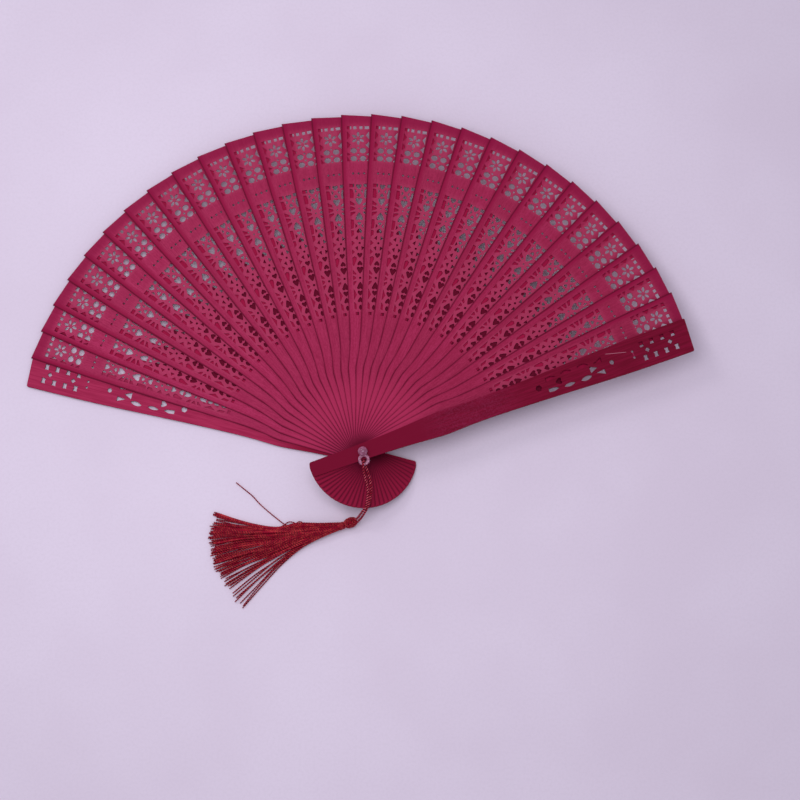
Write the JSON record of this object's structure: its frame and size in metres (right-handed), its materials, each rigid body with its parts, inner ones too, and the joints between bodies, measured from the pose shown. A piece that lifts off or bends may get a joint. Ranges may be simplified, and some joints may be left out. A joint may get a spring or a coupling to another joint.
{
  "type": "folding hand fan",
  "caption": "Folding hand fan of overlapping pierced wooden blades between two guards on a clear plastic rivet, with a corded tassel; it folds shut about the rivet.",
  "frame": {"origin": "on the rivet's axis, in the plane of the rear guard's outer face, which is the table under the open fan", "axes": "+Z along the rivet's axis from the rear guard to the front guard, +Y from the rivet through the middle of the open fan, +X towards the front guard's side"},
  "size_m": [0.3328, 0.2505, 0.0217],
  "materials": {
    "blade_wood": "magenta dyed pierced thin wood, satin",
    "guard_wood": "crimson dyed wood, smoother and darker",
    "clear_plastic": "clear moulded plastic",
    "linking_thread": "fine pale pink thread",
    "tassel_cord": "red twisted silky cord",
    "tassel_thread": "red silky threads with a little gold"
  },
  "bodies": {
    "rear_guard_and_rivet": {"rear_guard": "guard_wood", "rivet_pin": "clear_plastic", "rivet_cap": "clear_plastic", "linking_thread": "linking_thread"},
    "blade_01": {"blade_01": "blade_wood"},
    "blade_02": {"blade_02": "blade_wood"},
    "blade_03": {"blade_03": "blade_wood"},
    "blade_04": {"blade_04": "blade_wood"},
    "blade_05": {"blade_05": "blade_wood"},
    "blade_06": {"blade_06": "blade_wood"},
    "blade_07": {"blade_07": "blade_wood"},
    "blade_08": {"blade_08": "blade_wood"},
    "blade_09": {"blade_09": "blade_wood"},
    "blade_10": {"blade_10": "blade_wood"},
    "blade_11": {"blade_11": "blade_wood"},
    "blade_12": {"blade_12": "blade_wood"},
    "blade_13": {"blade_13": "blade_wood"},
    "blade_14": {"blade_14": "blade_wood"},
    "blade_15": {"blade_15": "blade_wood"},
    "blade_16": {"blade_16": "blade_wood"},
    "blade_17": {"blade_17": "blade_wood"},
    "blade_18": {"blade_18": "blade_wood"},
    "blade_19": {"blade_19": "blade_wood"},
    "blade_20": {"blade_20": "blade_wood"},
    "blade_21": {"blade_21": "blade_wood"},
    "blade_22": {"blade_22": "blade_wood"},
    "blade_23": {"blade_23": "blade_wood"},
    "blade_24": {"blade_24": "blade_wood"},
    "blade_25": {"blade_25": "blade_wood"},
    "blade_26": {"blade_26": "blade_wood"},
    "blade_27": {"blade_27": "blade_wood"},
    "blade_28": {"blade_28": "blade_wood"},
    "front_guard": {"front_guard": "guard_wood"},
    "tassel": {"tassel_eye": "clear_plastic", "tassel_cord": "tassel_cord", "tassel_knot": "tassel_thread", "tassel_binding": "tassel_thread", "tassel_skirt": "tassel_thread"}
  },
  "joints": [
    {"name": "fan_fold", "type": "hinge", "parent": "rear_guard_and_rivet", "child": "front_guard", "pos_m": [0, 0, 0.0176], "axis": [0, 0, 1], "range_deg": [0, 145.7], "deforming": ["linking_thread", "tassel_cord"]},
    {"name": "blade_01_turn", "type": "hinge", "parent": "rear_guard_and_rivet", "child": "blade_01", "pos_m": [0, 0, 0.00172], "axis": [0, 0, 1], "range_deg": [0, 4.72]},
    {"name": "blade_02_turn", "type": "hinge", "parent": "rear_guard_and_rivet", "child": "blade_02", "pos_m": [0, 0, 0.00228], "axis": [0, 0, 1], "range_deg": [0, 9.45]},
    {"name": "blade_03_turn", "type": "hinge", "parent": "rear_guard_and_rivet", "child": "blade_03", "pos_m": [0, 0, 0.00282], "axis": [0, 0, 1], "range_deg": [0, 14.23]},
    {"name": "blade_04_turn", "type": "hinge", "parent": "rear_guard_and_rivet", "child": "blade_04", "pos_m": [0, 0, 0.00337], "axis": [0, 0, 1], "range_deg": [0, 19.08]},
    {"name": "blade_05_turn", "type": "hinge", "parent": "rear_guard_and_rivet", "child": "blade_05", "pos_m": [0, 0, 0.00392], "axis": [0, 0, 1], "range_deg": [0, 23.99]},
    {"name": "blade_06_turn", "type": "hinge", "parent": "rear_guard_and_rivet", "child": "blade_06", "pos_m": [0, 0, 0.00447], "axis": [0, 0, 1], "range_deg": [0, 28.97]},
    {"name": "blade_07_turn", "type": "hinge", "parent": "rear_guard_and_rivet", "child": "blade_07", "pos_m": [0, 0, 0.00502], "axis": [0, 0, 1], "range_deg": [0, 34.01]},
    {"name": "blade_08_turn", "type": "hinge", "parent": "rear_guard_and_rivet", "child": "blade_08", "pos_m": [0, 0, 0.00558], "axis": [0, 0, 1], "range_deg": [0, 39.08]},
    {"name": "blade_09_turn", "type": "hinge", "parent": "rear_guard_and_rivet", "child": "blade_09", "pos_m": [0, 0, 0.00613], "axis": [0, 0, 1], "range_deg": [0, 44.18]},
    {"name": "blade_10_turn", "type": "hinge", "parent": "rear_guard_and_rivet", "child": "blade_10", "pos_m": [0, 0, 0.00668], "axis": [0, 0, 1], "range_deg": [0, 49.29]},
    {"name": "blade_11_turn", "type": "hinge", "parent": "rear_guard_and_rivet", "child": "blade_11", "pos_m": [0, 0, 0.00722], "axis": [0, 0, 1], "range_deg": [0, 54.38]},
    {"name": "blade_12_turn", "type": "hinge", "parent": "rear_guard_and_rivet", "child": "blade_12", "pos_m": [0, 0, 0.00777], "axis": [0, 0, 1], "range_deg": [0, 59.46]},
    {"name": "blade_13_turn", "type": "hinge", "parent": "rear_guard_and_rivet", "child": "blade_13", "pos_m": [0, 0, 0.00833], "axis": [0, 0, 1], "range_deg": [0, 64.52]},
    {"name": "blade_14_turn", "type": "hinge", "parent": "rear_guard_and_rivet", "child": "blade_14", "pos_m": [0, 0, 0.00887], "axis": [0, 0, 1], "range_deg": [0, 69.58]},
    {"name": "blade_15_turn", "type": "hinge", "parent": "rear_guard_and_rivet", "child": "blade_15", "pos_m": [0, 0, 0.00942], "axis": [0, 0, 1], "range_deg": [0, 74.63]},
    {"name": "blade_16_turn", "type": "hinge", "parent": "rear_guard_and_rivet", "child": "blade_16", "pos_m": [0, 0, 0.00997], "axis": [0, 0, 1], "range_deg": [0, 79.71]},
    {"name": "blade_17_turn", "type": "hinge", "parent": "rear_guard_and_rivet", "child": "blade_17", "pos_m": [0, 0, 0.01052], "axis": [0, 0, 1], "range_deg": [0, 84.81]},
    {"name": "blade_18_turn", "type": "hinge", "parent": "rear_guard_and_rivet", "child": "blade_18", "pos_m": [0, 0, 0.01107], "axis": [0, 0, 1], "range_deg": [0, 89.94]},
    {"name": "blade_19_turn", "type": "hinge", "parent": "rear_guard_and_rivet", "child": "blade_19", "pos_m": [0, 0, 0.01162], "axis": [0, 0, 1], "range_deg": [0, 95.1]},
    {"name": "blade_20_turn", "type": "hinge", "parent": "rear_guard_and_rivet", "child": "blade_20", "pos_m": [0, 0, 0.01218], "axis": [0, 0, 1], "range_deg": [0, 100.29]},
    {"name": "blade_21_turn", "type": "hinge", "parent": "rear_guard_and_rivet", "child": "blade_21", "pos_m": [0, 0, 0.01273], "axis": [0, 0, 1], "range_deg": [0, 105.49]},
    {"name": "blade_22_turn", "type": "hinge", "parent": "rear_guard_and_rivet", "child": "blade_22", "pos_m": [0, 0, 0.01328], "axis": [0, 0, 1], "range_deg": [0, 110.68]},
    {"name": "blade_23_turn", "type": "hinge", "parent": "rear_guard_and_rivet", "child": "blade_23", "pos_m": [0, 0, 0.01383], "axis": [0, 0, 1], "range_deg": [0, 115.84]},
    {"name": "blade_24_turn", "type": "hinge", "parent": "rear_guard_and_rivet", "child": "blade_24", "pos_m": [0, 0, 0.01438], "axis": [0, 0, 1], "range_deg": [0, 120.96]},
    {"name": "blade_25_turn", "type": "hinge", "parent": "rear_guard_and_rivet", "child": "blade_25", "pos_m": [0, 0, 0.01493], "axis": [0, 0, 1], "range_deg": [0, 126.02]},
    {"name": "blade_26_turn", "type": "hinge", "parent": "rear_guard_and_rivet", "child": "blade_26", "pos_m": [0, 0, 0.01547], "axis": [0, 0, 1], "range_deg": [0, 131.01]},
    {"name": "blade_27_turn", "type": "hinge", "parent": "rear_guard_and_rivet", "child": "blade_27", "pos_m": [0, 0, 0.01603], "axis": [0, 0, 1], "range_deg": [0, 135.95]},
    {"name": "blade_28_turn", "type": "hinge", "parent": "rear_guard_and_rivet", "child": "blade_28", "pos_m": [0, 0, 0.01657], "axis": [0, 0, 1], "range_deg": [0, 140.84]},
    {"name": "tassel_swivel", "type": "hinge", "parent": "rear_guard_and_rivet", "child": "tassel", "pos_m": [0, 0, 0.01905], "axis": [0, 0, 1], "range_deg": [-5, 75]}
  ],
  "couplings": [
    {"joint": "blade_01_turn", "follows": "fan_fold", "ratio": 0.032298},
    {"joint": "blade_02_turn", "follows": "fan_fold", "ratio": 0.064773},
    {"joint": "blade_03_turn", "follows": "fan_fold", "ratio": 0.097579},
    {"joint": "blade_04_turn", "follows": "fan_fold", "ratio": 0.13082},
    {"joint": "blade_05_turn", "follows": "fan_fold", "ratio": 0.16454},
    {"joint": "blade_06_turn", "follows": "fan_fold", "ratio": 0.19872},
    {"joint": "blade_07_turn", "follows": "fan_fold", "ratio": 0.2333},
    {"joint": "blade_08_turn", "follows": "fan_fold", "ratio": 0.26815},
    {"joint": "blade_09_turn", "follows": "fan_fold", "ratio": 0.30314},
    {"joint": "blade_10_turn", "follows": "fan_fold", "ratio": 0.33817},
    {"joint": "blade_11_turn", "follows": "fan_fold", "ratio": 0.37314},
    {"joint": "blade_12_turn", "follows": "fan_fold", "ratio": 0.40799},
    {"joint": "blade_13_turn", "follows": "fan_fold", "ratio": 0.44274},
    {"joint": "blade_14_turn", "follows": "fan_fold", "ratio": 0.47744},
    {"joint": "blade_15_turn", "follows": "fan_fold", "ratio": 0.51215},
    {"joint": "blade_16_turn", "follows": "fan_fold", "ratio": 0.54696},
    {"joint": "blade_17_turn", "follows": "fan_fold", "ratio": 0.58196},
    {"joint": "blade_18_turn", "follows": "fan_fold", "ratio": 0.61717},
    {"joint": "blade_19_turn", "follows": "fan_fold", "ratio": 0.65261},
    {"joint": "blade_20_turn", "follows": "fan_fold", "ratio": 0.68822},
    {"joint": "blade_21_turn", "follows": "fan_fold", "ratio": 0.7239},
    {"joint": "blade_22_turn", "follows": "fan_fold", "ratio": 0.75953},
    {"joint": "blade_23_turn", "follows": "fan_fold", "ratio": 0.79496},
    {"joint": "blade_24_turn", "follows": "fan_fold", "ratio": 0.83008},
    {"joint": "blade_25_turn", "follows": "fan_fold", "ratio": 0.8648},
    {"joint": "blade_26_turn", "follows": "fan_fold", "ratio": 0.89909},
    {"joint": "blade_27_turn", "follows": "fan_fold", "ratio": 0.93298},
    {"joint": "blade_28_turn", "follows": "fan_fold", "ratio": 0.96657}
  ]
}
